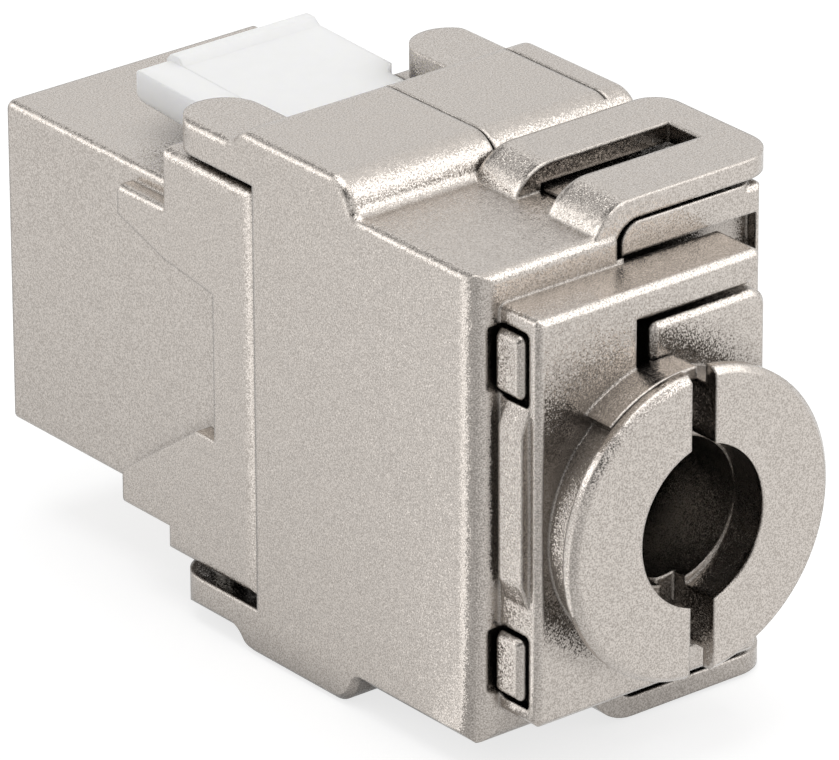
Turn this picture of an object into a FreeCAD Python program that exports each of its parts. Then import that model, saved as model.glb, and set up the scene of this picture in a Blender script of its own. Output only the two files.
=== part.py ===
import FreeCAD, Part
import math
import os

from FreeCAD import Vector

# Shielded keystone jack with two hinged wings, in millimetres.
# Design axes: X across (0 is the middle plane), Y towards the plug opening
# (0 is the rear face of the left wing's case), Z up (0 is mid height).
# The exported frame has its origin under the middle of the whole part.

# Front body and its opening
front_width = 14.7
front_height = 16.2
front_drop = 0.22           # the front body's middle lies this far below mid height
front_face_y = 35.5
front_wall = 1.5
front_side_wall = 0.9
front_edge_round = 0.4
plug_width = 11.9
plug_height = 6.9
plug_floor = 3.4            # plug floor below the front body's middle
key_width = 6.3
key_depth = 1.5
tip_width = 3.4
tip_depth = 1.1

# Collar, with the proud arrow shaped pads in front of it
collar_width = 16.6
collar_height = 20.1
collar_front_y = 22.6
collar_rear_y = 15.65
collar_corner = 0.6
collar_rear_round = 1.0
collar_front_round = 0.35
pad_front_y = 25.9
pad_top_drop = 0.75         # pad top below the front body's top
pad_bottom_drop = 0.55      # pad bottom below the front body's bottom
pocket_rear_y = 18.9
pocket_knee_y = 22.4
pocket_toe_y = 20.3
pocket_top_rear = 4.1
pocket_top_knee = 4.6
pocket_top_front = 5.7
pocket_low_rear = 3.2
pocket_low_front = 7.1
board_room_width = 14.2
board_room_height = 14.8

# Hinges of the wings
hinge_x = 6.5
hinge_y = 20.1
hinge_pin_radius = 0.8
hinge_pin_depth = 1.6
hinge_running = 0.05
hinge_bore_depth = 0.9
hinge_end_gap = 0.1
knuckle_radius = 1.9
seam_running = 0.2
ear_gap = 0.45
ear_thickness = 1.55

# Case of each wing
case_width = 16.8
case_height = 22.6
block_height = 25.7
block_front_y = 17.0
block_crest_y = 16.3
block_foot_y = 17.9
block_rear_y = 8.7
block_rear_round = 1.6
block_base_round = 0.6
case_wall = 1.0
case_rear_wall = 1.2
case_inner_round = 0.6
case_side_round = 0.45
case_side_bevel = 0.3
case_rear_corner = 1.2
case_rear_round = 0.5
centre_gap = 0.12
wing_rear_step = 0.25       # the right wing's rear face lies this far forward

# Rear plates and the split cable clamp
plate_depth = 2.66
plate_height = 19.6
plate_left_x = 7.1
plate_right_x = 5.97
plate_corner = 0.35
plate_far_corner = 0.9
plate_bevel = 0.25
strip_height = 1.6
strip_end_x = 5.65
plate_split_left = 1.55
plate_split_right = 0.6
plate_split_z = 0.3
window_rim = 0.6
window_low = 5.5
window_high = 9.1
window_depth = 0.9
window_round = 0.9
window_reach = 0.35         # how far the windows cut into the case's rear face
lug_gap = 0.28
lug_round = 0.4
lug_bevel = 0.25
lug_proud = 0.28
rib_low = -4.4
rib_high = 5.8
rib_front = 0.5
rib_proud = 0.45
rib_ramp = 1.4
clamp_drop = 0.95           # the clamp's axis lies this far below mid height
clamp_bore_radius = 3.5
neck_radius = 6.5
neck_length = 2.03
flange_radius = 7.4
flange_thickness = 0.75
flange_bevel = 0.3
mouth_radius = 4.0          # each half's wider mouth, centred beyond the middle plane
mouth_offset = 0.5
mouth_depth = 2.0
slot_width = 1.4
neck_pad_radius = 7.2
neck_pad_from = 78.0
neck_pad_to = 128.0
lip_reach = 0.45
lip_clearance = 0.12
overlap_gap = 0.15          # between one wing's plate and the other wing's rear face

# Straps of the left wing, and the tongues of the right wing under them
strap_rise = 1.35           # the strap's top above the case's rear plane
strap_thickness = 0.95
strap_rear_y = 0.15
strap_front_y = 8.6
strap_end_x = 9.2
strap_root_x = 1.5
strap_crest_x = 0.7
strap_rear_corner = 2.0
strap_front_corner = 1.4
strap_slot_rear_y = 3.5
strap_slot_front_y = 5.7
strap_slot_end_x = 7.3
tongue_rise = 0.15
tongue_end_x = 7.8
tongue_front_y = 8.2
tongue_corner = 1.0
tongue_end_round = 1.0      # the tongue's rounded end next to the left wing
heel_round = 1.35
undercut_top = 10.0
undercut_depth = 0.6
notch_x = 0.45              # the left wing's rear edge ends this far short of the middle
notch_front_y = 2.0
nub_rise = 0.12
nub_length = 0.6
seam_line_x = 6.8
seam_line_width = 0.14
seam_line_depth = 0.3

# Keystone latch
latch_front_y = 29.0
latch_width = 9.8
latch_ridge_left_x = -3.0
latch_root_width = 8.4
latch_step_y = 22.4
latch_ridge_top = 11.25
latch_top_front = 10.95
latch_top_rear = 10.6
latch_ridge_foot_y = 27.7
latch_ridge_crest_y = 28.1
latch_under_front = 9.45
latch_under_front_y = 27.7
latch_under_rear = 9.15
latch_under_rear_y = 23.2
latch_pivot_y = 18.6
latch_pivot_z = 9.0
latch_barrel_radius = 0.95
latch_trunnion_radius = 0.5
latch_trunnion_length = 0.9
latch_corner = 0.3
latch_neck_run = 0.7
latch_toe_round = 0.8
latch_pocket_gap = 0.3
latch_running = 0.05

# Contact carrier, contacts and ground springs
fit_gap = 0.1
contact_count = 8
contact_pitch = 1.02
contact_width = 0.42
contact_thickness = 0.34
contact_slot_gap = 0.09
contact_leg_z = 4.9
contact_bend_y = 31.6
contact_tip_y = 23.0
contact_tip_z = 1.1
contact_heel = 0.5
contact_hook_run = 0.6
contact_hook_drop = 1.1
contact_tip_run = 1.0
contact_tip_rise = 0.35
carrier_front_gap = 0.1
carrier_rear_wall = 1.2
ground_thickness = 0.28
ground_height = 4.2
ground_length = 8.4
ground_bow = 0.75
ground_flat = 1.4
ground_window_depth = 0.5
ground_window_gap = 0.3

# Board, terminal blocks, terminals
board_thickness = 1.5
board_width = 13.8
board_height = 14.4
board_rear_y = 17.4
board_room_gap = 0.4
terminal_columns = 4
terminal_pitch = 3.2
terminal_row_z = 4.3
terminal_thickness = 0.4
terminal_height = 2.5
terminal_length = 6.1
terminal_fork_depth = 3.0
terminal_fork_width = 0.36
terminal_mouth = 0.9
terminal_slot_gap = 0.1
block_width = 13.4
block_depth = 6.8
terminal_block_height = 5.4
terminal_block_round = 0.4
wire_slot_width = 1.3
wire_slot_depth = 3.4

# Wire manager and pair divider
manager_width = 13.6
manager_height = 18.8
manager_rear_y = 1.75
manager_gap = 0.3
manager_round = 1.2
manager_bore_radius = 3.9
manager_groove_width = 1.3
manager_groove_depth = 2.0
divider_thickness = 0.5
divider_gap = 0.05
divider_inset = 0.8

# Sizes that follow from the ones above
front_mid_z = -front_drop
front_top = front_mid_z + front_height / 2
front_bottom = front_mid_z - front_height / 2
front_side = front_width / 2
pad_side = collar_width / 2
collar_half = collar_height / 2
cavity_side = front_side - front_side_wall
cavity_top = front_top - front_side_wall
cavity_bottom = front_bottom + front_side_wall
cavity_front_y = front_face_y - front_wall
case_side = case_width / 2
case_half = case_height / 2
block_half = block_height / 2
ear_inner = collar_half + ear_gap
ear_outer = ear_inner + ear_thickness
room_half = ear_inner - fit_gap
hinge_sweep = math.hypot(pad_side - collar_rear_round - hinge_x,
                         hinge_y - collar_rear_y - collar_rear_round) + collar_rear_round
seam_radius = hinge_sweep + seam_running
clamp_z = -clamp_drop
neck_rear_y = -plate_depth - neck_length
flange_rear_y = neck_rear_y - flange_thickness
plate_half = plate_height / 2
strip_low = plate_half - strip_height
right_plate_top = strip_low - plate_split_z
strap_top = case_half + strap_rise
strap_under = strap_top - strap_thickness
tongue_top = case_half + tongue_rise
board_front_y = board_rear_y + board_thickness
board_room_front_y = board_front_y + board_room_gap
carrier_rear_y = board_room_front_y + fit_gap
terminal_block_rear_y = board_rear_y - block_depth
manager_front_y = terminal_block_rear_y - manager_gap
plug_low = front_mid_z - plug_floor
plug_high = plug_low + plug_height

place = Vector(-(strap_end_x - case_side) / 2, -(front_face_y + flange_rear_y) / 2, block_half)


# Small builders

def box(x0, x1, y0, y1, z0, z1):
    return Part.makeBox(x1 - x0, y1 - y0, z1 - z0, Vector(x0, y0, z0))


def at(plane, a, b):
    if plane == "xy":
        return Vector(a, b, 0)
    if plane == "xz":
        return Vector(a, 0, b)
    return Vector(0, a, b)


def outline(plane, start, *steps):
    """A face from a start point and steps: a point is a line, a pair of points an arc."""
    edges = []
    here = start
    for step in steps + (start,):
        if isinstance(step[0], tuple):
            middle, end = step
            edges.append(Part.Arc(at(plane, *here), at(plane, *middle), at(plane, *end)).toShape())
        else:
            end = step
            if math.dist(here, end) > 1e-6:
                edges.append(Part.LineSegment(at(plane, *here), at(plane, *end)).toShape())
        here = end
    return Part.Face(Part.Wire(edges))


def extrude(plane, face, low, high):
    along = {"xy": Vector(0, 0, 1), "xz": Vector(0, 1, 0), "yz": Vector(1, 0, 0)}[plane]
    return face.translated(along * low).extrude(along * (high - low))


def bend(p, q, s, r):
    """The steps that round the corner q between p and s."""
    u = unit(q, p)
    v = unit(q, s)
    half = math.acos(u[0] * v[0] + u[1] * v[1]) / 2
    reach = r / math.tan(half)
    w = unit((0, 0), (u[0] + v[0], u[1] + v[1]))
    crown = r / math.sin(half) - r
    return [(q[0] + u[0] * reach, q[1] + u[1] * reach),
            ((q[0] + w[0] * crown, q[1] + w[1] * crown), (q[0] + v[0] * reach, q[1] + v[1] * reach))]


def polygon(plane, *corners):
    """A face from corners (a, b), or (a, b, r) for a rounded one."""
    steps = []
    for i, corner in enumerate(corners):
        if len(corner) > 2 and corner[2] > 0:
            steps += bend(corners[i - 1][:2], corner[:2], corners[(i + 1) % len(corners)][:2], corner[2])
        else:
            steps.append(corner[:2])
    return outline(plane, *steps)


def rounded(plane, a0, a1, b0, b1, radii):
    """A rectangle with one corner radius, or with four, counted round from (a0, b0)."""
    if not isinstance(radii, tuple):
        radii = (radii,) * 4
    return polygon(plane, (a0, b0, radii[0]), (a1, b0, radii[1]), (a1, b1, radii[2]), (a0, b1, radii[3]))


def edges_at(shape, axis, value):
    """The edges that lie wholly in one plane across an axis."""
    found = []
    for edge in shape.Edges:
        bounds = edge.BoundBox
        low, high = {"x": (bounds.XMin, bounds.XMax), "y": (bounds.YMin, bounds.YMax),
                     "z": (bounds.ZMin, bounds.ZMax)}[axis]
        if abs(low - value) < 1e-3 and abs(high - value) < 1e-3:
            found.append(edge)
    return found


def cylinder_y(x, z, y0, y1, r):
    return Part.makeCylinder(r, y1 - y0, Vector(x, y0, z), Vector(0, 1, 0))


def cylinder_x(y, z, x0, x1, r):
    return Part.makeCylinder(r, x1 - x0, Vector(x0, y, z), Vector(1, 0, 0))


def cylinder_z(x, y, z0, z1, r):
    return Part.makeCylinder(r, z1 - z0, Vector(x, y, z0))


def upside_down(shape):
    return shape.mirror(Vector(0, 0, 0), Vector(0, 0, 1))


def other_side(shape):
    return shape.mirror(Vector(0, 0, 0), Vector(1, 0, 0))


def strip(points, thickness):
    """The outline of a bent strip of even thickness along a line of points."""
    left = []
    right = []
    for i, (a, b) in enumerate(points):
        before = points[max(i - 1, 0)]
        after = points[min(i + 1, len(points) - 1)]
        d0 = unit(before, (a, b)) if i else unit((a, b), after)
        d1 = unit((a, b), after) if i < len(points) - 1 else d0
        nx = -(d0[1] + d1[1])
        ny = d0[0] + d1[0]
        scale = thickness / (nx * -d0[1] + ny * d0[0])
        left.append((a + nx * scale / 2, b + ny * scale / 2))
        right.append((a - nx * scale / 2, b - ny * scale / 2))
    return left + right[::-1]


def unit(p, q):
    length = math.dist(p, q)
    return ((q[0] - p[0]) / length, (q[1] - p[1]) / length)


# Front housing

def plug_opening(y0, y1, gap):
    """The plug's opening with the two steps of its key below it."""
    half = plug_width / 2 + gap
    key = key_width / 2 + gap
    tip = tip_width / 2 + gap
    low = plug_low - gap
    face = outline("xz", (-half, plug_high + gap), (half, plug_high + gap), (half, low), (key, low),
                   (key, low - key_depth), (tip, low - key_depth), (tip, low - key_depth - tip_depth),
                   (-tip, low - key_depth - tip_depth), (-tip, low - key_depth), (-key, low - key_depth),
                   (-key, low), (-half, low))
    return extrude("xz", face, y0, y1)


def side_pocket():
    """The flat field that runs back from the front body's side between the pad's arms."""
    mouth = pad_front_y + 1
    face = outline("yz", (mouth, pocket_top_front), (pad_front_y, pocket_top_front),
                   (pocket_knee_y, pocket_top_knee), (pocket_rear_y, pocket_top_rear),
                   (pocket_rear_y, -pocket_low_rear), (pocket_toe_y, -pocket_low_rear),
                   (pad_front_y, -pocket_low_front), (mouth, -pocket_low_front))
    return extrude("yz", face, -pad_side - 1, -front_side)


def front_housing():
    body = extrude("xz", rounded("xz", -front_side, front_side, front_bottom, front_top, front_edge_round),
                   collar_rear_y + 1, front_face_y)
    collar = extrude("xz", rounded("xz", -pad_side, pad_side, -collar_half, collar_half, collar_corner),
                     collar_rear_y, collar_front_y)
    plan = rounded("xy", -pad_side, pad_side, collar_rear_y, collar_front_y,
                   (collar_rear_round, collar_rear_round, collar_front_round, collar_front_round))
    collar = collar.common(extrude("xy", plan, -collar_half, collar_half))
    pads = extrude("xz", rounded("xz", -pad_side, pad_side, front_bottom - pad_bottom_drop,
                                 front_top - pad_top_drop, collar_front_round),
                   pocket_toe_y, pad_front_y)
    shell = body.fuse([collar, pads])
    pocket = side_pocket()
    cavity = box(-cavity_side, cavity_side, collar_rear_y - 1, cavity_front_y, cavity_bottom, cavity_top)
    room = box(-board_room_width / 2, board_room_width / 2, collar_rear_y - 1, board_room_front_y,
               -board_room_height / 2, board_room_height / 2)
    shell = shell.cut([pocket, other_side(pocket), cavity, room, latch_pocket(),
                       plug_opening(cavity_front_y - 1, front_face_y + 1, 0)])
    bores = []
    for x in (-hinge_x, hinge_x):
        upper = cylinder_z(x, hinge_y, collar_half - hinge_pin_depth, collar_half + 1, hinge_pin_radius)
        bores += [upper, upside_down(upper)]
    trunnion = latch_root_width / 2 + latch_pocket_gap + latch_trunnion_length
    bores.append(cylinder_x(latch_pivot_y, latch_pivot_z, -trunnion, trunnion,
                            latch_trunnion_radius + latch_running))
    return shell.cut(bores).removeSplitter()


def latch_pocket():
    """Room in the collar's top for the latch's root, open to the front and above."""
    half = latch_root_width / 2 + latch_pocket_gap
    rear = latch_pivot_y - latch_barrel_radius - latch_pocket_gap
    floor = latch_pivot_z - latch_barrel_radius - fit_gap
    wide = latch_width / 2 + latch_pocket_gap
    mouth = latch_step_y - latch_neck_run - latch_pocket_gap
    root = box(-half, half, rear, pad_front_y, floor, collar_half + 1)
    return root.fuse(box(-wide, wide, mouth, pad_front_y, floor, collar_half + 1))


def hinge_pin(side, up):
    """A short steel pin pressed into the collar, standing into the wing's ear."""
    low = collar_half - hinge_pin_depth
    high = ear_inner + hinge_bore_depth - hinge_end_gap
    pin = cylinder_z(side * hinge_x, hinge_y, low, high, hinge_pin_radius)
    return pin if up > 0 else upside_down(pin)


# Keystone latch

def latch_side(crest):
    """The latch's side outline, with its ridge or with a plain top."""
    barrel_low = latch_pivot_z - latch_barrel_radius
    top = latch_ridge_top if crest else latch_top_front
    rise = [(latch_ridge_foot_y, latch_top_front), (latch_ridge_crest_y, top)] if crest else []
    toe = bend((latch_front_y, top), (latch_front_y, latch_under_front + fit_gap),
               (latch_under_front_y, latch_under_front), latch_toe_round)
    front_barrel = (latch_pivot_y + latch_barrel_radius, latch_pivot_z)
    barrel = ((latch_pivot_y, barrel_low), (latch_pivot_y - latch_barrel_radius, latch_pivot_z))
    return outline("yz", (latch_pivot_y, latch_top_rear), *rise, (latch_front_y - latch_corner, top),
                   (latch_front_y, top - latch_corner), *toe, (latch_under_front_y, latch_under_front),
                   (latch_under_rear_y, latch_under_rear), front_barrel, barrel)


def keystone_latch():
    """The sprung plate above the front body, with a catch ridge along its free end."""
    half = latch_width / 2
    root = latch_root_width / 2
    neck_y = latch_step_y - latch_neck_run
    plan = polygon("xy", (-root, 0), (-root, neck_y), (-half, latch_step_y),
                   (-half, latch_front_y, latch_corner), (half, latch_front_y, latch_corner),
                   (half, latch_step_y), (root, neck_y), (root, 0))
    plate = extrude("yz", latch_side(False), -half, half)
    ridge = extrude("yz", latch_side(True), latch_ridge_left_x, half)
    plate = plate.fuse(ridge).common(extrude("xy", plan, 0, block_height))
    pins = root + latch_trunnion_length
    trunnions = cylinder_x(latch_pivot_y, latch_pivot_z, -pins, pins, latch_trunnion_radius)
    return plate.fuse(trunnions).removeSplitter()


# Wings

def case_profile(rear_y):
    """Side outline of a wing's case: low rear plane, raised block, ears around the collar."""
    centre = (block_rear_y + block_rear_round, block_half - block_rear_round)
    reach = block_rear_round + block_base_round
    drop = case_half + block_base_round - centre[1]
    base = (centre[0] - math.sqrt(reach ** 2 - drop ** 2), case_half + block_base_round)
    share = block_rear_round / reach
    touch = (centre[0] + (base[0] - centre[0]) * share, centre[1] + (base[1] - centre[1]) * share)
    low_mid = on_arc(base, block_base_round, (base[0], case_half), touch)
    high_mid = on_arc(centre, block_rear_round, touch, (centre[0], block_half))
    step = ((block_crest_y + block_foot_y) / 2, (block_half + ear_outer) / 2)
    k = case_rear_round * (1 - math.sqrt(0.5))
    upper = [(rear_y, case_half - case_rear_round),
             ((rear_y + k, case_half - k), (rear_y + case_rear_round, case_half)),
             (base[0], case_half), (low_mid, touch), (high_mid, (centre[0], block_half)),
             (block_crest_y, block_half), (step_mid((block_crest_y, block_half), step, 1), step),
             (step_mid(step, (block_foot_y, ear_outer), -1), (block_foot_y, ear_outer)),
             (hinge_y + knuckle_radius, ear_outer), (hinge_y + knuckle_radius, ear_inner),
             (collar_rear_y + case_rear_round, ear_inner)]
    return upper


def on_arc(centre, radius, p, q):
    """The middle of the short arc from p to q about a centre."""
    a = unit(centre, p)
    b = unit(centre, q)
    length = math.hypot(a[0] + b[0], a[1] + b[1])
    return (centre[0] + (a[0] + b[0]) / length * radius, centre[1] + (a[1] + b[1]) / length * radius)


def step_mid(p, q, bulge):
    """The middle of an arc between p and q with a level end, bulging up or down."""
    dy = q[0] - p[0]
    dz = q[1] - p[1]
    rise = math.tan(math.atan2(abs(dz), abs(dy)) / 2) / 2
    return ((p[0] + q[0]) / 2 - bulge * dz * rise, (p[1] + q[1]) / 2 + bulge * dy * rise)


def case_plan():
    """Plan of the left wing's case with its round hinge knuckle at the front corner."""
    inner = hinge_x - knuckle_radius
    outer = hinge_x + knuckle_radius
    return outline("xy", (-centre_gap / 2, 0), (-centre_gap / 2, block_front_y), (-inner, block_front_y),
                   (-inner, hinge_y), ((-hinge_x, hinge_y + knuckle_radius), (-outer, hinge_y)),
                   *bend((-case_side, hinge_y), (-case_side, 0), (0, 0), case_rear_corner))


def case(rear_y):
    """The left wing's case: a half shell, open at the middle plane and at the front."""
    side = outline("yz", (rear_y, 0), *case_profile(rear_y), (collar_rear_y + case_rear_round, 0))
    half = extrude("yz", side, -case_side, 0)
    rims = [e for e in edges_at(half, "x", -case_side) if e.BoundBox.Center.z > ear_inner + fit_gap]
    upper = half.makeFillet(case_side_round, rims)
    lower = upside_down(half.makeChamfer(case_side_bevel, rims))
    solid = upper.fuse(lower).common(extrude("xy", case_plan(), -block_height, block_height))
    inner_side = case_side - case_wall
    hollow = extrude("xz", rounded("xz", -inner_side, inner_side, -room_half, room_half, case_inner_round),
                     rear_y + case_rear_wall, collar_rear_y + 1)
    bore = cylinder_z(-hinge_x, hinge_y, -ear_inner - hinge_bore_depth, ear_inner + hinge_bore_depth,
                      hinge_pin_radius + hinge_running)
    seam = cylinder_z(-hinge_x, hinge_y, -ear_inner, ear_inner, seam_radius)
    return solid.cut([hollow, seam, bore])


def clamp_half():
    """The left half of the split ring: neck, flange and the wider mouth of its bore."""
    neck = cylinder_y(0, clamp_z, neck_rear_y - fit_gap, -plate_depth + fit_gap, neck_radius)
    flange = cylinder_y(0, clamp_z, flange_rear_y, neck_rear_y, flange_radius)
    flange = flange.makeChamfer(flange_bevel, edges_at(flange, "y", flange_rear_y))
    half = box(-flange_radius - 1, -slot_width / 2, flange_rear_y - 1, 0, -case_height, case_height)
    mouth = cylinder_y(mouth_offset, clamp_z, flange_rear_y - 1, flange_rear_y + mouth_depth, mouth_radius)
    return neck.fuse(flange).common(half).cut(mouth)


def neck_pad():
    """The raised stretch of the neck's top, whose lip closes the slot from above."""
    start = math.radians(neck_pad_from)
    stop = math.radians(neck_pad_to)
    far = neck_pad_radius * 2
    wedge = outline("xz", (0, clamp_z), (far * math.cos(start), clamp_z + far * math.sin(start)),
                    (far * math.cos(stop), clamp_z + far * math.sin(stop)))
    rear = neck_rear_y + fit_gap * 3
    pad = cylinder_y(0, clamp_z, rear, -plate_depth + fit_gap, neck_pad_radius)
    pad = pad.cut(cylinder_y(0, clamp_z, rear, 0, neck_radius - fit_gap))
    pad = pad.common(extrude("xz", wedge, neck_rear_y - 1, 0))
    root = box(-neck_pad_radius, -slot_width / 2, neck_rear_y - 1, 0, clamp_z, case_half)
    lip_low = clamp_z + neck_radius + lip_clearance
    lip = box(-neck_pad_radius, lip_reach, neck_rear_y - 1, -plate_depth - fit_gap, lip_low, case_half)
    return pad.common(root.fuse(lip))


def side_window():
    """The upper window in the left plate's side, rounded towards the case."""
    face = rounded("yz", -plate_depth + window_rim, window_reach, window_low, window_high,
                   (lug_gap, window_round, window_round, lug_gap))
    outer = -plate_left_x - lug_proud - lug_gap
    return extrude("yz", face, outer, -plate_left_x + window_depth)


def side_lug():
    """The lug that stands in the upper window with a gap all round."""
    outer = -plate_left_x - lug_proud
    face = rounded("yz", -plate_depth + window_rim + lug_gap, window_reach - lug_gap,
                   window_low + lug_gap, window_high - lug_gap, lug_round)
    lug = extrude("yz", face, outer, -plate_left_x + window_depth + fit_gap)
    return lug.makeChamfer(lug_bevel, edges_at(lug, "x", outer))


def side_rib():
    """The low rib with ramped ends between the two windows."""
    base = -plate_left_x + fit_gap
    top = -plate_left_x - rib_proud
    face = outline("xz", (base, rib_low), (top, rib_low + rib_ramp), (top, rib_high - rib_ramp),
                   (base, rib_high))
    return extrude("xz", face, -plate_depth + window_rim, -rib_front)


def left_plate():
    """A C shaped plate: the left column, with a strip above and below that reach across."""
    end = (strip_end_x, strip_low, plate_far_corner)
    corner = (strip_end_x, plate_half, plate_corner)
    face = polygon("xz", (-plate_left_x, -plate_half, plate_corner), (corner[0], -corner[1], plate_corner),
                   (end[0], -end[1], plate_far_corner), (-plate_split_left, -strip_low),
                   (-plate_split_left, strip_low), end, corner, (-plate_left_x, plate_half, plate_corner))
    plate = extrude("xz", face, -plate_depth, fit_gap)
    outside = []
    for edge in edges_at(plate, "y", -plate_depth):
        middle = edge.BoundBox.Center
        if abs(middle.z) > strip_low - fit_gap or middle.x < -plate_split_left - fit_gap:
            outside.append(edge)
    plate = plate.makeChamfer(plate_bevel, outside)
    return plate.fuse(side_rib())


def right_plate():
    """The plain plate of the right wing between the left wing's two strips."""
    face = rounded("xz", -plate_split_right, plate_right_x, -right_plate_top, right_plate_top,
                   (plate_corner, plate_far_corner, plate_far_corner, plate_corner))
    plate = extrude("xz", face, -plate_depth, wing_rear_step + fit_gap)
    plate = plate.makeChamfer(plate_bevel, edges_at(plate, "y", -plate_depth))
    behind_left = box(-plate_split_right - 1, centre_gap / 2, -overlap_gap, 1, -plate_half, plate_half)
    return plate.cut(behind_left)


def strap():
    """The bent strap that reaches from the left wing over the right one, with its slot."""
    crest = (strap_crest_x, strap_top)
    run = strap_crest_x + strap_root_x
    radius = (run ** 2 + strap_rise ** 2) / (2 * strap_rise)
    centre = (strap_crest_x, strap_top - radius)
    foot = (-strap_root_x, case_half)
    low = case_half - case_rear_round
    side = outline("xz", (-strap_root_x, low), foot, (on_arc(centre, radius, foot, crest), crest),
                   (strap_end_x, strap_top), (strap_end_x, strap_under), (-centre_gap / 2, strap_under),
                   (-centre_gap / 2, low))
    body = extrude("xz", side, strap_rear_y, strap_front_y)
    plan = rounded("xy", -strap_root_x - 1, strap_end_x, strap_rear_y, strap_front_y,
                   (0, strap_rear_corner, strap_front_corner, 0))
    body = body.common(extrude("xy", plan, 0, strap_top + 1))
    slot = box(-strap_root_x - 1, strap_slot_end_x, strap_slot_rear_y, strap_slot_front_y,
               case_half, strap_top + 1)
    return body.cut(slot)


def quarter(x, z, radius):
    """The corner at x and z that lies outside a quarter circle of this radius."""
    k = radius * (1 - math.sqrt(0.5))
    return outline("xz", (x, z - radius), ((x + k, z - k), (x + radius, z)), (x, z))


def strap_heel():
    """The rounded corner between the left wing's rear edge and the strap's underside."""
    face = quarter(-notch_x, strap_under, heel_round)
    return extrude("xz", face, strap_rear_y, notch_front_y - fit_gap)


def left_wing():
    upper = strap()
    heel = strap_heel()
    window = side_window()
    lug = side_lug()
    notch = box(-notch_x, 1, -1, notch_front_y, undercut_top, strap_under)
    wing = case(0).fuse([left_plate(), clamp_half(), upper, upside_down(upper)])
    bore = cylinder_y(0, clamp_z, flange_rear_y - 1, case_rear_wall + 1, clamp_bore_radius)
    wing = wing.cut([bore, window, upside_down(window), notch, upside_down(notch)])
    return wing.fuse([neck_pad(), heel, upside_down(heel), lug, upside_down(lug)]).removeSplitter()


def tongue():
    """The raised field of the right wing's rear plane, with its snap nub in the slot."""
    plan = rounded("xy", centre_gap / 2, tongue_end_x, wing_rear_step, tongue_front_y,
                   (0, tongue_corner, 0, 0))
    field = extrude("xy", plan, case_half - case_rear_round, tongue_top)
    end = strap_slot_end_x - fit_gap
    foot = tongue_top - fit_gap
    crest = tongue_top + nub_rise
    nub = outline("xz", (end - nub_length, foot), (end - nub_length / 2, crest), (end, crest), (end, foot))
    nub = extrude("xz", nub, strap_slot_rear_y + fit_gap * 2, strap_slot_front_y - fit_gap * 2)
    return field.fuse(nub)


def right_wing():
    upper = tongue()
    wing = other_side(case(wing_rear_step)).fuse([right_plate(), other_side(clamp_half()),
                                                  upper, upside_down(upper)])
    groove = box(seam_line_x, seam_line_x + seam_line_width, block_rear_y + block_rear_round / 2,
                 block_front_y + 1, block_half - seam_line_depth, block_half + 1)
    undercut = box(0, tongue_end_x, -overlap_gap, wing_rear_step + undercut_depth, strip_low, undercut_top)
    corner = quarter(centre_gap / 2, tongue_top, tongue_end_round)
    corner = extrude("xz", corner, wing_rear_step - 1, notch_front_y)
    bore = cylinder_y(0, clamp_z, flange_rear_y - 1, wing_rear_step + case_rear_wall + 1, clamp_bore_radius)
    cuts = [groove, undercut, corner]
    return wing.cut(cuts + [upside_down(cut) for cut in cuts] + [bore]).removeSplitter()


# Insides

def contact_x(i):
    return (i - (contact_count - 1) / 2) * contact_pitch


def contact_carrier():
    """The plastic block in the front body, with the plug's channel and the contact comb."""
    side = cavity_side - fit_gap
    block = box(-side, side, carrier_rear_y, cavity_front_y - carrier_front_gap, cavity_bottom + fit_gap,
                cavity_top - fit_gap)
    channel_rear = carrier_rear_y + carrier_rear_wall
    cuts = [plug_opening(channel_rear, cavity_front_y + 1, 0)]
    half = contact_width / 2 + contact_slot_gap
    leg_top = contact_leg_z + contact_thickness / 2 + contact_slot_gap
    leg_low = contact_leg_z - contact_thickness / 2 - contact_slot_gap
    comb_front = contact_bend_y + contact_thickness
    for i in range(contact_count):
        left = contact_x(i) - half
        right = contact_x(i) + half
        cuts.append(box(left, right, channel_rear, comb_front, plug_high - 1, leg_top))
        cuts.append(box(left, right, carrier_rear_y - 1, channel_rear + 1, leg_low, leg_top))
    window_rear = cavity_front_y - ground_length - 2 * ground_window_gap
    low = ground_z() - ground_height / 2 - fit_gap
    high = ground_z() + ground_height / 2 + fit_gap
    window = box(plug_width / 2 - ground_window_depth, side + 1, window_rear, cavity_front_y, low, high)
    return block.cut(cuts + [window, other_side(window)]).removeSplitter()


def ground_z():
    return plug_low + plug_height / 2


def contact_spring(i):
    """One contact: a leg from the board, a bend at the front and the sprung arm below it."""
    hook_y = contact_bend_y - contact_hook_run
    hook_z = contact_leg_z - contact_hook_drop
    arm = [(board_front_y, contact_leg_z), (contact_bend_y - contact_heel, contact_leg_z),
           (contact_bend_y, contact_leg_z - contact_heel), (hook_y, hook_z),
           (contact_tip_y + contact_tip_run, contact_tip_z),
           (contact_tip_y, contact_tip_z + contact_tip_rise)]
    face = outline("yz", *strip(arm, contact_thickness))
    x = contact_x(i)
    return extrude("yz", face, x - contact_width / 2, x + contact_width / 2)


def ground_spring(side):
    """A bowed leaf beside the plug's channel that touches the plug's shield."""
    outer = cavity_side - ground_thickness / 2 - fit_gap / 2
    inner = outer - ground_bow
    front = cavity_front_y - ground_window_gap
    rear = front - ground_length
    middle = (front + rear) / 2
    path = [(outer, rear), (outer, rear + ground_flat), (inner, middle), (inner, middle + ground_flat),
            (outer, front - ground_flat), (outer, front)]
    leaf = outline("xy", *strip(path, ground_thickness))
    leaf = extrude("xy", leaf, ground_z() - ground_height / 2, ground_z() + ground_height / 2)
    return leaf if side > 0 else other_side(leaf)


def circuit_board():
    half_w = board_width / 2
    half_h = board_height / 2
    return box(-half_w, half_w, board_rear_y, board_front_y, -half_h, half_h)


def terminal_place(i):
    column = i % terminal_columns
    row = 1 if i < terminal_columns else -1
    return ((column - (terminal_columns - 1) / 2) * terminal_pitch, row * terminal_row_z)


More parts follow.
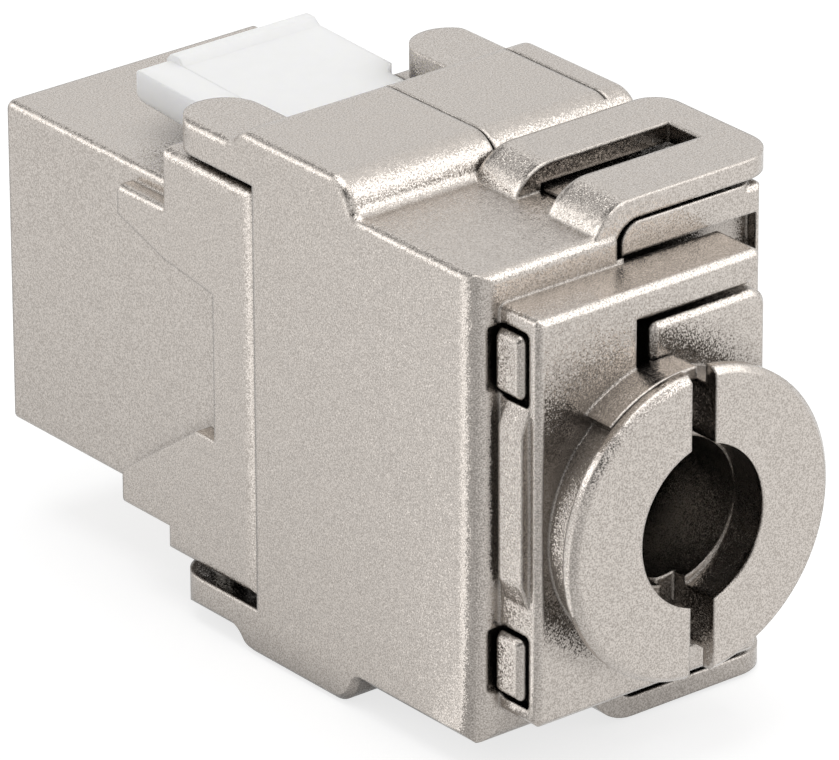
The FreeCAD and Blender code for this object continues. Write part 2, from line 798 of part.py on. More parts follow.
def terminal_block(row):
    """One of the two blocks behind the board, slotted for its terminals and their wires."""
    middle = row * terminal_row_z
    half = terminal_block_height / 2
    side = block_width / 2
    face = rounded("xz", -side, side, middle - half, middle + half, terminal_block_round)
    block = extrude("xz", face, terminal_block_rear_y, board_rear_y)
    w = terminal_thickness / 2 + terminal_slot_gap
    h = terminal_height / 2 + terminal_slot_gap
    wire = wire_slot_width / 2
    wire_front = terminal_block_rear_y + wire_slot_depth
    cuts = []
    for i in range(terminal_columns):
        x = terminal_place(i)[0]
        cuts.append(box(x - w, x + w, terminal_block_rear_y - 1, board_rear_y + 1, middle - h, middle + h))
        cuts.append(box(x - wire, x + wire, terminal_block_rear_y - 1, wire_front,
                        middle - half - 1, middle + half + 1))
    return block.cut(cuts).removeSplitter()


def idc_terminal(i):
    """A blade soldered to the board, forked at its rear end to cut into a wire."""
    x, z = terminal_place(i)
    rear = board_rear_y - terminal_length
    half = terminal_height / 2
    fork = terminal_fork_width / 2
    mouth = terminal_mouth / 2
    neck = rear + mouth
    root = rear + terminal_fork_depth
    face = outline("yz", (board_rear_y, z - half), (board_rear_y, z + half), (rear, z + half),
                   (rear, z + mouth), (neck, z + fork), (root, z + fork), (root, z - fork),
                   (neck, z - fork), (rear, z - mouth), (rear, z - half))
    return extrude("yz", face, x - terminal_thickness / 2, x + terminal_thickness / 2)


def wire_manager():
    """The loose plastic cap that sorts the wires and presses them into the terminals."""
    half_w = manager_width / 2
    half_h = manager_height / 2
    body = extrude("xz", rounded("xz", -half_w, half_w, -half_h, half_h, manager_round),
                   manager_rear_y, manager_front_y)
    cuts = [cylinder_y(0, clamp_z, manager_rear_y - 1, manager_front_y + 1, manager_bore_radius)]
    groove = manager_groove_width / 2
    groove_rear = manager_front_y - manager_groove_depth
    for i in range(terminal_columns):
        x = terminal_place(i)[0]
        cuts.append(box(x - groove, x + groove, groove_rear, manager_front_y + 1, -half_h - 1, half_h + 1))
    return body.cut(cuts).removeSplitter()


def pair_divider():
    """A metal cross in the wire manager's middle that keeps the four pairs apart."""
    reach = manager_bore_radius - divider_gap
    half = divider_thickness / 2
    rear = manager_rear_y + divider_inset
    front = manager_front_y - manager_groove_depth
    level = box(-reach, reach, rear, front, clamp_z - half, clamp_z + half)
    upright = box(-half, half, rear, front, clamp_z - reach, clamp_z + reach)
    cross = level.fuse(upright).removeSplitter()
    return cross.common(cylinder_y(0, clamp_z, rear, front, reach))


# Every node by name

def nodes():
    made = {"front_housing": front_housing(), "keystone_latch": keystone_latch(),
            "left_wing": left_wing(), "right_wing": right_wing(),
            "contact_carrier": contact_carrier(), "circuit_board": circuit_board(),
            "terminal_block_upper": terminal_block(1), "terminal_block_lower": terminal_block(-1),
            "wire_manager": wire_manager(), "pair_divider": pair_divider(),
            "ground_spring_left": ground_spring(-1), "ground_spring_right": ground_spring(1)}
    for side, side_name in ((-1, "left"), (1, "right")):
        for up, up_name in ((1, "upper"), (-1, "lower")):
            made[f"hinge_pin_{up_name}_{side_name}"] = hinge_pin(side, up)
    for i in range(contact_count):
        made[f"contact_spring_{i + 1}"] = contact_spring(i)
    for i in range(2 * terminal_columns):
        made[f"idc_terminal_{i + 1}"] = idc_terminal(i)
    return made


os.makedirs("parts", exist_ok=True)
for name, shape in nodes().items():
    shape = shape.translated(place)
    shape.exportStep(f"parts/{name}.step")
    print(name, "solids", len(shape.Solids), "valid", shape.isValid(), "volume", round(shape.Volume, 2))
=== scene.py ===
# %% [markdown]
# # A shielded keystone jack, dressed for its picture
# The solid model of the jack is already packed as a fixed frame: 32 named pieces, in metres, each on the
# body it moves with. This script keeps that frame as it is and gives it what a solid model lacks: the finish
# of each material, the marks inside the castings, a floor, soft studio light and the camera.

# %% Load the frame
import math

import bmesh
import bpy
from mathutils import Matrix, Vector


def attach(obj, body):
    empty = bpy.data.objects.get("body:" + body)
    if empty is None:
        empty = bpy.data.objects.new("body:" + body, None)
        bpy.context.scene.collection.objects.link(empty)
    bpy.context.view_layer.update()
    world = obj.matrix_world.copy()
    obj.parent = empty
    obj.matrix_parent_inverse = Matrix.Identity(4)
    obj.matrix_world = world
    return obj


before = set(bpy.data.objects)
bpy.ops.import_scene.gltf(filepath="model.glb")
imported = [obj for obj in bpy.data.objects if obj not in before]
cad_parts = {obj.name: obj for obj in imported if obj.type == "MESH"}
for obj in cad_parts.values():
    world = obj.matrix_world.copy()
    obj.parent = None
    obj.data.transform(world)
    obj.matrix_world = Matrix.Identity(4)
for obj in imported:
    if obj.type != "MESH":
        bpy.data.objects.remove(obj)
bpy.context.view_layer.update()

scene = bpy.context.scene
MM = 0.001
print("nodes:", len(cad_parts))

# %% [markdown]
# ## Where things are
# The drawing of the jack measures from its middle plane, from the rear face of the case and from mid height,
# while the frame's origin lies under the middle of its box. One function turns a drawing's millimetres into
# the frame's metres, so every place below can be read off the real object.

# %% From the drawing's millimetres to the frame
SHIFT = Vector((-0.4, -15.03, 12.85))
OBJECT_MIDDLE = Vector((0, 14.0, 0))
CLAMP_MIDDLE = (0, -5.44, -0.95)


def at(x, y, z):
    """A point of the drawing, in the frame's metres."""
    return (Vector((x, y, z)) + SHIFT) * MM


print("middle of the clamp ring:", tuple(round(v, 5) for v in at(*CLAMP_MIDDLE)))

# %% [markdown]
# ## The camera
# The object is seen from behind, from the left and from above. Its long edges hardly converge, as with a long
# lens far away, so the angle of the view matters more than the distance. The numbers were fitted to those
# edges: azimuth, elevation and roll of the view, its distance, and how far beside the middle it aims. A Track
# To constraint could aim the camera, but couldn't roll it, so its turn is worked out here.

# %% Set the camera
VIEW_AZIMUTH = math.radians(38.76)
VIEW_ELEVATION = math.radians(24.62)
VIEW_ROLL = math.radians(-0.254)
VIEW_DISTANCE = 407.54
AIM_RIGHT = -0.231
AIM_UP = -0.729
FOCAL_PIXELS = 9000.0
FRAME_WIDTH = 839
SENSOR_WIDTH = 36.0
NEAREST_SEEN = 0.01
FARTHEST_SEEN = 10


def set_camera():
    towards = Vector((-math.sin(VIEW_AZIMUTH) * math.cos(VIEW_ELEVATION),
                      -math.cos(VIEW_AZIMUTH) * math.cos(VIEW_ELEVATION),
                      math.sin(VIEW_ELEVATION)))
    right = (-towards).cross(Vector((0, 0, 1))).normalized()
    up = right.cross(-towards)
    place = OBJECT_MIDDLE + right * AIM_RIGHT + up * AIM_UP + towards * VIEW_DISTANCE
    tilted_right = right * math.cos(VIEW_ROLL) + up * math.sin(VIEW_ROLL)
    tilted_up = up * math.cos(VIEW_ROLL) - right * math.sin(VIEW_ROLL)
    data = bpy.data.cameras.new("studio_camera")
    data.sensor_width = SENSOR_WIDTH
    data.lens = FOCAL_PIXELS / FRAME_WIDTH * SENSOR_WIDTH
    data.clip_start = NEAREST_SEEN
    data.clip_end = FARTHEST_SEEN
    camera = bpy.data.objects.new("studio_camera", data)
    turn = Matrix((tilted_right, tilted_up, towards)).transposed().to_4x4()
    camera.matrix_world = Matrix.Translation(at(*place)) @ turn
    scene.collection.objects.link(camera)
    scene.camera = camera
    return camera


camera = set_camera()
print("lens:", round(camera.data.lens, 1), "mm")

# %% [markdown]
# ## Colours and nodes
# Colours are written as sRGB hex values, the way a colour picker shows them, while the renderer works with
# linear light. One function converts them. A second one adds a node of any kind with its settings, its links
# and a colour ramp's stops, so that a material reads as a short list. Patterns get their scale from a size on
# the real object in millimetres.

# %% Colour and node helpers
WHITE = "FFFFFF"


def linear(code):
    """An sRGB hex colour as linear red, green, blue and alpha."""
    parts = [int(code[i:i + 2], 16) / 255 for i in (0, 2, 4)]
    return tuple(p / 12.92 if p <= 0.04045 else ((p + 0.055) / 1.055) ** 2.4 for p in parts) + (1.0,)


def add(tree, kind, inputs=None, stops=(), **settings):
    """Adds a node. inputs maps a socket's name or number to a value or to another node's output.

    stops are the (place, colour) pairs of a colour ramp.
    """
    node = tree.nodes.new(kind)
    for name, value in settings.items():
        setattr(node, name, value)
    for key, value in (inputs or {}).items():
        if isinstance(value, bpy.types.NodeSocket):
            tree.links.new(value, node.inputs[key])
        else:
            node.inputs[key].default_value = value
    if stops:
        elements = node.color_ramp.elements
        while len(elements) < len(stops):
            elements.new(1.0)
        for element, (place, colour) in zip(elements, stops):
            element.position = place
            element.color = colour
    return node


def new_material(name):
    material = bpy.data.materials.new(name)
    material.use_nodes = True
    tree = material.node_tree
    tree.nodes.clear()
    return material, tree


def per_metre(size_mm):
    """The scale of a pattern whose features are size_mm across."""
    return 1.0 / (size_mm * MM)


print("mid grey 808080 in linear light:", round(linear("808080")[0], 3))

# %% [markdown]
# ## The background
# The picture has a plain white ground. A world that bright would also light the object too evenly, so the
# world has two strengths. Rays that come straight from the camera, off a mirror or through glass see white,
# and metal shows that white ground too. All other rays, the ones that light the object, see less than half.
# A picture of a studio could be the world instead, but a plain white ground needs no more than this.

# %% Build the background
scene.view_settings.view_transform = "Standard"
WORLD_LIGHT = 0.45
WORLD_SEEN = 1.0


def seen_directly(tree):
    """1 for rays from the camera, off a mirror or through glass, and 0 for all others."""
    rays = add(tree, "ShaderNodeLightPath")
    first = add(tree, "ShaderNodeMath", {0: rays.outputs["Is Camera Ray"], 1: rays.outputs["Is Glossy Ray"]},
                operation="MAXIMUM")
    both = add(tree, "ShaderNodeMath", {0: first.outputs[0], 1: rays.outputs["Is Transmission Ray"]},
               operation="MAXIMUM")
    return both.outputs[0]


def build_world():
    world = bpy.data.worlds.new("studio_world")
    world.use_nodes = True
    tree = world.node_tree
    tree.nodes.clear()
    lit = add(tree, "ShaderNodeBackground", {"Color": linear(WHITE), "Strength": WORLD_LIGHT})
    seen = add(tree, "ShaderNodeBackground", {"Color": linear(WHITE), "Strength": WORLD_SEEN})
    mix = add(tree, "ShaderNodeMixShader", {0: seen_directly(tree), 1: lit.outputs[0], 2: seen.outputs[0]})
    add(tree, "ShaderNodeOutputWorld", {"Surface": mix.outputs[0]})
    scene.world = world


build_world()
print("world:", scene.world.name, "view transform:", scene.view_settings.view_transform)

# %% [markdown]
# ## The floor and the painted reflections in it
# The floor is pale matt paper. Seen directly it is a darker paper, which takes the soft shadow, plus a glow
# that brings it up to white where no shadow falls. More light would make it white too, but would wash out the
# object. The sides and the rear of the object are nickel and mirror this floor, so its brightness is their
# tone. A photographer lays lighter and darker cards around a shiny product for that reason. Here there are no
# cards: the floor's glow is painted brighter and darker by direction, in sectors of a radial gradient that
# only mirror-like rays see. These are painted reflections, and the floor in the picture stays plain. Each
# sector is an azimuth in degrees, from the plug's direction towards the right, and its brightness, where 1 is
# paper white. A ramp's colours end at 1 and the brightest sector is nearly 2, so the ramp holds shares.

# %% Lay the floor
FLOOR_SIZE = 6.0
PAPER = "EFEFEF"
SHADED_PAPER = "AAAAAA"
SHADED_PAPER_GIVES = 0.26
FLOOR_GLOW = 0.74
# The centre and the sectors of the painted reflection: a glow, brighter or darker by direction, that only
# mirror-like rays see.
REFLECTION_SECTORS_MEET = (-8.4, 4, -12.85)
RAMP_TOP = 2.0
REFLECTED = [(-39, 0.95), (-52, 1.0), (-66, 1.5), (-80, 1.9), (-90, 0.9), (-100, 0.45), (-130, 0.50),
             (-160, 0.75), (173, 0.85), (141, 1.0), (90, 0.95), (50, 0.75), (25, 0.6), (0, 0.75), (-18, 0.9)]


def around(azimuth):
    """Where a direction in degrees falls in a radial gradient, from 0 to 1."""
    return ((90 - azimuth) / 360 + 0.5) % 1.0


def reflected_glow(tree):
    """What mirror-like rays see of the floor, less what the shaded paper gives by itself."""
    place = add(tree, "ShaderNodeTexCoord")
    centred = add(tree, "ShaderNodeVectorMath", {0: place.outputs["Object"], 1: at(*REFLECTION_SECTORS_MEET)},
                  operation="SUBTRACT")
    turn = add(tree, "ShaderNodeTexGradient", {"Vector": centred.outputs[0]}, gradient_type="RADIAL")
    # Painted reflection: the glow rises and falls with the direction from the object, for mirror-like rays
    # only.
    stops = sorted((around(azimuth), (level / RAMP_TOP,) * 3 + (1.0,)) for azimuth, level in REFLECTED)
    reflection_sectors = add(tree, "ShaderNodeValToRGB", {"Fac": turn.outputs["Fac"]}, stops)
    glow = add(tree, "ShaderNodeMath", {0: reflection_sectors.outputs[0], 1: RAMP_TOP, 2: -SHADED_PAPER_GIVES},
               operation="MULTIPLY_ADD")
    return glow.outputs[0]


def build_floor():
    mesh = bpy.data.meshes.new("studio_floor")
    work = bmesh.new()
    bmesh.ops.create_grid(work, x_segments=1, y_segments=1, size=FLOOR_SIZE / 2)
    work.to_mesh(mesh)
    work.free()
    floor = bpy.data.objects.new("studio_floor", mesh)
    scene.collection.objects.link(floor)
    material, tree = new_material("pale matt paper")
    paper = add(tree, "ShaderNodeBsdfDiffuse", {"Color": linear(PAPER)})
    shaded = add(tree, "ShaderNodeBsdfDiffuse", {"Color": linear(SHADED_PAPER)})
    rays = add(tree, "ShaderNodeLightPath")
    # Mirror-like rays see the painted reflection. The camera sees the even glow that makes the paper white.
    level = add(tree, "ShaderNodeMix", {"Factor": rays.outputs["Is Glossy Ray"], "A": FLOOR_GLOW,
                                        "B": reflected_glow(tree)})
    glow = add(tree, "ShaderNodeEmission", {"Color": linear(WHITE), "Strength": level.outputs[0]})
    seen = add(tree, "ShaderNodeAddShader", {0: shaded.outputs[0], 1: glow.outputs[0]})
    mix = add(tree, "ShaderNodeMixShader", {0: seen_directly(tree), 1: paper.outputs[0], 2: seen.outputs[0]})
    add(tree, "ShaderNodeOutputMaterial", {"Surface": mix.outputs[0]})
    mesh.materials.append(material)


build_floor()
print("floor:", FLOOR_SIZE, "m across, with", len(REFLECTED), "reflection_sectors")

# %% [markdown]
# ## Softboxes and flags
# The flat tops mirror the white ground behind the object. A rounded edge turns away from its flat faces and
# looks at everything in between, so it draws a thin bright line where it passes a lamp and a thin dark line
# where it passes a flag, the black card that a photographer hangs beside a shiny product. The left softbox
# is for the edges between side and top, the right one for those between rear and top, and the top one lights
# the latch and the floor. The flags darken the near corner and the upper part of the side edges. A lamp can
# only add light, so the softboxes are area lamps and the flags are cards of their own. A lamp is given by its
# brightness as the metal sees it, where 1 is paper white, and its power follows from its area.

# %% Hang the softboxes and the flags
# Azimuth and elevation in degrees, distance, width and height in metres, and for a lamp its brightness.
SOFTBOXES = {"right_softbox": (128, 36, 0.60, 0.50, 0.40, 1.55),
             "left_softbox": (-36, 24, 0.60, 0.30, 0.22, 1.6),
             "top_softbox": (0, 85, 0.90, 0.70, 0.70, 2.1)}
FLAGS = {"corner_flag": (-118, 36, 0.80, 0.62, 0.50),
         "edge_flag": (-8, 46, 0.70, 0.50, 0.12)}
VELVET_LEVEL = 0.02
HALF_A_METRE = 0.5


def aim(azimuth, elevation, distance):
    """The place and turn of a card or lamp that faces the object from a direction in degrees."""
    a = math.radians(azimuth)
    e = math.radians(elevation)
    way = Vector((math.sin(a) * math.cos(e), math.cos(a) * math.cos(e), math.sin(e)))
    turn = way.to_track_quat("Z", "Y").to_matrix().to_4x4()
    return Matrix.Translation(at(*OBJECT_MIDDLE) + way * distance) @ turn


def softbox(name, azimuth, elevation, distance, width, height, brightness):
    """A lamp whose light is spread evenly over a rectangle."""
    data = bpy.data.lights.new(name, "AREA")
    data.shape = "RECTANGLE"
    data.size = width
    data.size_y = height
    data.energy = brightness * math.pi * width * height
    lamp = bpy.data.objects.new(name, data)
    lamp.matrix_world = aim(azimuth, elevation, distance)
    lamp.visible_camera = False
    scene.collection.objects.link(lamp)


def card_material(name, level):
    """A card whose brightness is the given share of white."""
    material, tree = new_material(name)
    glow = add(tree, "ShaderNodeEmission", {"Color": linear(WHITE), "Strength": level})
    add(tree, "ShaderNodeOutputMaterial", {"Surface": glow.outputs[0]})
    return material


def flag(name, material, azimuth, elevation, distance, width, height):
    """A card that only mirror-like surfaces see, scaled from a grid one metre across."""
    mesh = bpy.data.meshes.new(name)
    work = bmesh.new()
    bmesh.ops.create_grid(work, x_segments=1, y_segments=1, size=HALF_A_METRE)
    bmesh.ops.scale(work, vec=(width, height, 1), verts=work.verts)
    bmesh.ops.transform(work, matrix=aim(azimuth, elevation, distance), verts=work.verts)
    work.to_mesh(mesh)
    work.free()
    card = bpy.data.objects.new(name, mesh)
    mesh.materials.append(material)
    for kind in ("camera", "diffuse", "shadow", "transmission"):
        setattr(card, "visible_" + kind, False)
    scene.collection.objects.link(card)


black_card = card_material("black velvet card", VELVET_LEVEL)
for name, values in SOFTBOXES.items():
    softbox(name, *values)
for name, values in FLAGS.items():
    flag(name, black_card, *values)
print("lamps:", list(SOFTBOXES), "flags:", list(FLAGS))

# %% [markdown]
# ## Satin nickel on a zinc casting
# The castings are zinc, pressed into a steel die and plated with nickel, a warm light grey metal. The skin
# keeps the fine grain of the die and sparkles. Each grain tips the surface a little, so it mirrors another
# part of the studio. Where the studio is one even white a tilt changes nothing, so the same noise also makes
# some grains darker than others. The grain is drawn 0.072 mm across, about one and a half pixels of the
# picture, which is as coarse as it needs to be to show. Slow lumps of a third of a millimetre make the sheen
# uneven.
#
# A bump map would give the grain soft hills. Instead, a noise texture's three colour channels are taken as a
# random vector and added to the normal, which gives every grain its own tilt. The Bevel node rounds the edges
# by 0.24 mm in the shading only. An Ambient Occlusion node that looks inwards finds what lies within half a
# millimetre of an edge: handling rubs the grain off there, so the tilt fades and the metal is smoother. A
# second one looks outwards and paints shade into the base colour, which is darker in the hollows that little
# light reaches.

# %% Make the nickel
GRAIN_MM = 0.072
LUMP_MM = 0.34
GRAIN_TILT = 0.95
LUMP_TILT = 0.22
EDGE_ROUND_MM = 0.24
RIM_MM = 0.50
RIM_LOW = 0.60
RUBBED_SHARE = 0.15
RUBBED_ROUGHNESS = 0.13
NICKEL_ROUGHNESS = 0.25
PAINTED_SHADE_REACH_MM = 4.5
NICKEL_DARK = "A9A29B"
NICKEL_LIGHT = "D0C9C2"
# The grey of the painted shade in the deepest hollows.
PAINTED_SHADE_GREY = "909090"


def random_tilt(tree, source, amount):
    """A random vector from a pattern's colour, that tips the surface by the given amount."""
    centred = add(tree, "ShaderNodeVectorMath", {0: source, 1: (0.5, 0.5, 0.5)}, operation="SUBTRACT")
    tilt = add(tree, "ShaderNodeVectorMath", {0: centred.outputs[0], "Scale": amount}, operation="SCALE")
    return tilt.outputs[0]


def nickel_material(name):
    material, tree = new_material(name)
    place = add(tree, "ShaderNodeTexCoord")
    grain = add(tree, "ShaderNodeTexNoise", {"Vector": place.outputs["Object"], "Scale": per_metre(GRAIN_MM),
                                             "Detail": 1.0, "Roughness": 0.6})
    lumps = add(tree, "ShaderNodeTexNoise", {"Vector": place.outputs["Object"], "Scale": per_metre(LUMP_MM),
                                             "Detail": 2.0, "Roughness": 0.5})
    round_edge = add(tree, "ShaderNodeBevel", {"Radius": EDGE_ROUND_MM * MM}, samples=6)
    rim = add(tree, "ShaderNodeAmbientOcclusion", {"Distance": RIM_MM * MM}, samples=4, inside=True)
    grained = add(tree, "ShaderNodeMapRange",
                  {"Value": rim.outputs["AO"], "From Min": RIM_LOW, "From Max": 1.0,
                   "To Min": GRAIN_TILT * RUBBED_SHARE, "To Max": GRAIN_TILT})
    rough = add(tree, "ShaderNodeMapRange", {"Value": rim.outputs["AO"], "From Min": RIM_LOW, "From Max": 1.0,
                                             "To Min": RUBBED_ROUGHNESS, "To Max": NICKEL_ROUGHNESS})
    small = random_tilt(tree, grain.outputs["Color"], grained.outputs[0])
    slow = random_tilt(tree, lumps.outputs["Color"], LUMP_TILT)
    both = add(tree, "ShaderNodeVectorMath", {0: small, 1: slow})
    tilted = add(tree, "ShaderNodeVectorMath", {0: both.outputs[0], 1: round_edge.outputs[0]})
    normal = add(tree, "ShaderNodeVectorMath", {0: tilted.outputs[0]}, operation="NORMALIZE")
    colour = add(tree, "ShaderNodeValToRGB", {"Fac": grain.outputs["Fac"]},
                 [(0.36, linear(NICKEL_DARK)), (0.62, linear(NICKEL_LIGHT))])
    # Painted shade: the base colour is darkened where the outward occlusion finds walls close by, in the
    # hollows that less light reaches.
    hollow = add(tree, "ShaderNodeAmbientOcclusion", {"Distance": PAINTED_SHADE_REACH_MM * MM}, samples=4)
    painted_shade = add(tree, "ShaderNodeValToRGB", {"Fac": hollow.outputs["AO"]},
               [(0.10, linear(PAINTED_SHADE_GREY)), (0.75, linear(WHITE))])
    shade = add(tree, "ShaderNodeMixRGB",
                {"Fac": 1.0, "Color1": colour.outputs[0], "Color2": painted_shade.outputs[0]}, blend_type="MULTIPLY")
    skin = add(tree, "ShaderNodeBsdfPrincipled", {"Base Color": shade.outputs[0], "Metallic": 1.0,
                                                  "Roughness": rough.outputs[0], "Normal": normal.outputs[0]})
    add(tree, "ShaderNodeOutputMaterial", {"Surface": skin.outputs[0]})
    return material


nickel = nickel_material("satin nickel on die cast zinc")
print("made:", nickel.name, "with a grain of", GRAIN_MM, "mm")

# %% [markdown]
# ## The plastics, the board and the small metals
# The latch is moulded in a white plastic that light enters: subsurface scattering over a millimetre and a
# half gives it its soft, milky shading. What is inside is seen only through the plug opening, the cable inlet
# and the open wings: black moulded blocks with a dull grain, a green board under glossy lacquer, bright gold
# plated contacts, duller tinned terminals and plain steel pins and springs. Two functions make them all, one
# for what is moulded or lacquered and one for small metal, because each group differs only in its numbers.
# Both mix two close shades by a noise texture, so that no surface is one flat colour. Its patches are 0.3 to
# 0.8 mm across, coarser than a mould's grain or a drawing mark, which would be too fine to show.

# %% Make the other materials
MOULD_ROUND_MM = 0.12
MOULD_RELIEF_MM = 0.03
PLASTIC_IOR = 1.5
SCATTER_MM = 1.5
SCATTER_COLOURS = (1.0, 1.0, 1.1)
MARK_STRENGTH = 0.2
MARK_RELIEF_MM = 0.01


def moulded_material(name, shades, roughness, texture_mm, bump, soft=0.0):
    """A moulded plastic with the faint grain of its mould. soft is the share of the light that enters it."""
    material, tree = new_material(name)
    place = add(tree, "ShaderNodeTexCoord")
    grain = add(tree, "ShaderNodeTexNoise", {"Vector": place.outputs["Object"],
                                             "Scale": per_metre(texture_mm), "Detail": 3.0})
    tint = add(tree, "ShaderNodeMixRGB", {"Fac": grain.outputs["Fac"], "Color1": linear(shades[0]),
                                          "Color2": linear(shades[1])})
    round_edge = add(tree, "ShaderNodeBevel", {"Radius": MOULD_ROUND_MM * MM}, samples=6)
    relief = add(tree, "ShaderNodeBump", {"Strength": bump, "Distance": MOULD_RELIEF_MM * MM,
                                          "Height": grain.outputs["Fac"], "Normal": round_edge.outputs[0]})
    skin = add(tree, "ShaderNodeBsdfPrincipled", {"Base Color": tint.outputs[0], "Roughness": roughness,
                                                  "Normal": relief.outputs[0], "IOR": PLASTIC_IOR})
    if soft:
        skin.inputs["Subsurface Weight"].default_value = soft
        skin.inputs["Subsurface Radius"].default_value = SCATTER_COLOURS
        skin.inputs["Subsurface Scale"].default_value = SCATTER_MM * MM
    add(tree, "ShaderNodeOutputMaterial", {"Surface": skin.outputs[0]})
    return material


def small_metal_material(name, shades, roughness, texture_mm):
    """A drawn or stamped metal with fine marks."""
    material, tree = new_material(name)
    place = add(tree, "ShaderNodeTexCoord")
    marks = add(tree, "ShaderNodeTexNoise", {"Vector": place.outputs["Object"],
                                             "Scale": per_metre(texture_mm), "Detail": 2.0})
    tint = add(tree, "ShaderNodeMixRGB", {"Fac": marks.outputs["Fac"], "Color1": linear(shades[0]),
                                          "Color2": linear(shades[1])})
    relief = add(tree, "ShaderNodeBump", {"Strength": MARK_STRENGTH, "Distance": MARK_RELIEF_MM * MM,
                                          "Height": marks.outputs["Fac"]})
    skin = add(tree, "ShaderNodeBsdfPrincipled", {"Base Color": tint.outputs[0], "Metallic": 1.0,
                                                  "Roughness": roughness, "Normal": relief.outputs[0]})
    add(tree, "ShaderNodeOutputMaterial", {"Surface": skin.outputs[0]})
    return material


white_plastic = moulded_material("white moulded latch plastic", ("F1F1F1", "F5F5F5"),
                                 roughness=0.40, texture_mm=0.8, bump=0.15, soft=0.8)
black_plastic = moulded_material("black moulded plastic", ("191919", "222222"),
                                 roughness=0.5, texture_mm=0.3, bump=0.4)
board_laminate = moulded_material("green lacquered board", ("12502C", "165C33"),
                                  roughness=0.3, texture_mm=0.6, bump=0.1)
steel = small_metal_material("bright spring steel", ("B8B6B2", "C8C6C2"), roughness=0.28, texture_mm=0.3)
gold = small_metal_material("gold plated contact", ("E3B95B", "F0CB72"), roughness=0.25, texture_mm=0.3)
tinned = small_metal_material("tin plated brass", ("C4C2BC", "D2D0CA"), roughness=0.38, texture_mm=0.3)
print("made:", [m.name for m in (white_plastic, black_plastic, board_laminate, steel, gold, tinned)])

# %% [markdown]
# ## Dress the solid pieces
# Each solid piece keeps its shape and gets the material of the real one. The 32 pieces could be listed one by
# one, but names that share a beginning share a finish, so a short table of beginnings is enough.

# %% Give every solid piece its material
FINISHES = {"front_housing": nickel, "left_wing": nickel, "right_wing": nickel,
            "keystone_latch": white_plastic, "contact_carrier": black_plastic,
            "terminal_block": black_plastic, "wire_manager": black_plastic,
            "circuit_board": board_laminate, "pair_divider": steel, "hinge_pin": steel,
            "ground_spring": steel, "contact_spring": gold, "idc_terminal": tinned}


def dress(obj):
    """Gives a piece its finish and returns the beginning that its name matched, or None."""
    for start, material in FINISHES.items():
        if obj.name.startswith(start):
            for slot in obj.material_slots:
                slot.material = material
            return start
    return None


dressed = [dress(obj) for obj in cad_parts.values()]
print("dressed:", len(dressed), "pieces, without a finish:", dressed.count(None))

# %% [markdown]
# ## Marks of the ejector pins
# A die casting is pushed out of its die by round pins, and each pin leaves a low ring on the inside of the
# wall. They show when the wings are open. Rings could be placed one by one, but equal rings on a grid suit
# Geometry Nodes: each point of a two by two grid gets one ring, and the inputs of the tree are the ring's
# size and the grid's steps. The tree ends in Realize Instances, because instances would be left out when the
# result becomes a plain mesh, and in Set Material.

# %% Build the tree for the rings
RING_RADIUS = 0.9
BEAD_RADIUS = 0.09
RING_STEP_Y = 6.5
RING_STEP_Z = 13.0
RING_POINTS = 32
BEAD_POINTS = 8
RINGS_EACH_WAY = 2


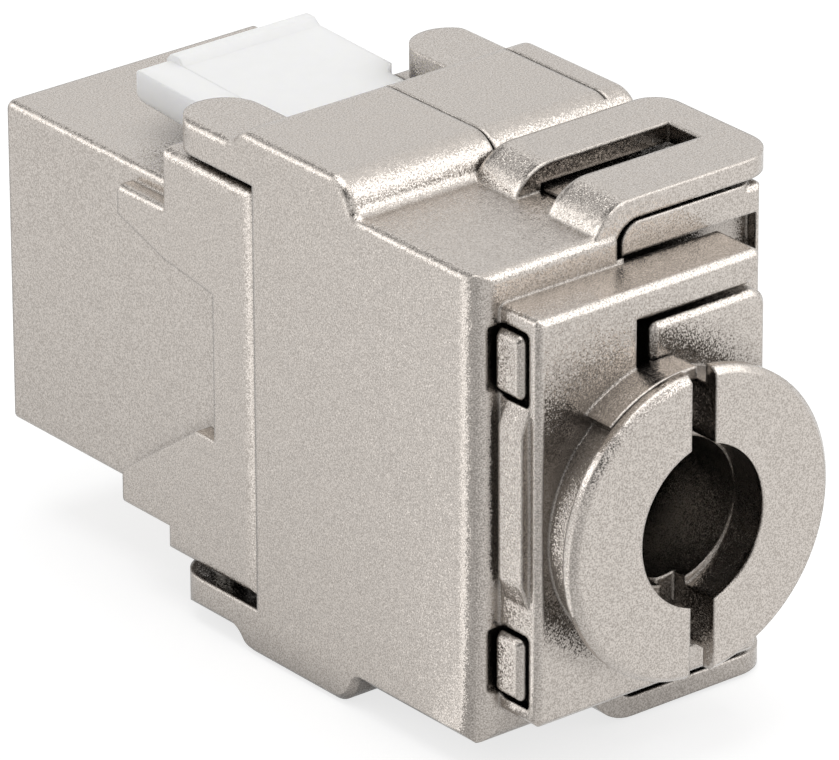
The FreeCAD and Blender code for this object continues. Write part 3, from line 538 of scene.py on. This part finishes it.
def ring_tree():
    """A grid of rings in the plane x = 0, moved to its middle."""
    tree = bpy.data.node_groups.new("ejector_pin_marks", "GeometryNodeTree")
    for name, kind, value in (("Ring Radius", "NodeSocketFloat", RING_RADIUS * MM),
                              ("Bead Radius", "NodeSocketFloat", BEAD_RADIUS * MM),
                              ("Step Y", "NodeSocketFloat", RING_STEP_Y * MM),
                              ("Step Z", "NodeSocketFloat", RING_STEP_Z * MM),
                              ("Middle", "NodeSocketVector", (0.0, 0.0, 0.0)),
                              ("Material", "NodeSocketMaterial", None)):
        socket = tree.interface.new_socket(name, in_out="INPUT", socket_type=kind)
        if value is not None:
            socket.default_value = value
    tree.interface.new_socket("Geometry", in_out="OUTPUT", socket_type="NodeSocketGeometry")
    given = add(tree, "NodeGroupInput")
    circle = add(tree, "GeometryNodeCurvePrimitiveCircle", {"Resolution": RING_POINTS,
                                                            "Radius": given.outputs["Ring Radius"]})
    bead = add(tree, "GeometryNodeCurvePrimitiveCircle", {"Resolution": BEAD_POINTS,
                                                          "Radius": given.outputs["Bead Radius"]})
    ring = add(tree, "GeometryNodeCurveToMesh", {"Curve": circle.outputs["Curve"],
                                                 "Profile Curve": bead.outputs["Curve"]})
    grid = add(tree, "GeometryNodeMeshGrid", {"Size X": given.outputs["Step Z"],
                                              "Size Y": given.outputs["Step Y"],
                                              "Vertices X": RINGS_EACH_WAY, "Vertices Y": RINGS_EACH_WAY})
    rings = add(tree, "GeometryNodeInstanceOnPoints", {"Points": grid.outputs["Mesh"],
                                                       "Instance": ring.outputs["Mesh"]})
    solid = add(tree, "GeometryNodeRealizeInstances", {"Geometry": rings.outputs["Instances"]})
    stood = add(tree, "GeometryNodeTransform", {"Geometry": solid.outputs["Geometry"],
                                                "Translation": given.outputs["Middle"],
                                                "Rotation": (0.0, math.pi / 2, 0.0)})
    finish = add(tree, "GeometryNodeSetMaterial", {"Geometry": stood.outputs["Geometry"],
                                                   "Material": given.outputs["Material"]})
    add(tree, "NodeGroupOutput", {"Geometry": finish.outputs["Geometry"]})
    return tree


rings_tree = ring_tree()
print("ring tree:", len(rings_tree.nodes), "nodes")

# %% [markdown]
# ## Rings for each wing
# The tree runs once for each wing, with its middle on that wing's inner wall. The finished pieces are plain
# meshes, so the result becomes one and the modifier is removed. Each mesh then rides its wing, so the rings
# swing open with it, and shares the castings' nickel.

# %% Make one mesh of rings for each wing
INNER_WALL_X = 7.4
RING_MIDDLE_Y = 8.2


def socket_id(tree, name):
    """The identifier by which a modifier knows an input of its tree."""
    return next(item.identifier for item in tree.interface.items_tree if item.name == name)


def from_tree(name, tree, values):
    """Runs a tree on an empty mesh and returns an object that holds the plain result."""
    seed = bpy.data.objects.new(name + "_seed", bpy.data.meshes.new(name + "_seed"))
    scene.collection.objects.link(seed)
    modifier = seed.modifiers.new("tree", "NODES")
    modifier.node_group = tree
    for key, value in values.items():
        modifier[socket_id(tree, key)] = value
    shown = seed.evaluated_get(bpy.context.evaluated_depsgraph_get())
    mesh = bpy.data.meshes.new_from_object(shown)
    seed.modifiers.remove(modifier)
    bpy.data.objects.remove(seed)
    mesh.name = name
    piece = bpy.data.objects.new(name, mesh)
    scene.collection.objects.link(piece)
    return piece


for side, sign in (("left", -1), ("right", 1)):
    marks = from_tree(side + "_ejector_pin_marks", rings_tree,
                      {"Middle": tuple(at(sign * INNER_WALL_X, RING_MIDDLE_Y, 0)), "Material": nickel})
    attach(marks, side + "_wing")
    print(marks.name, "has", len(marks.data.polygons), "faces")
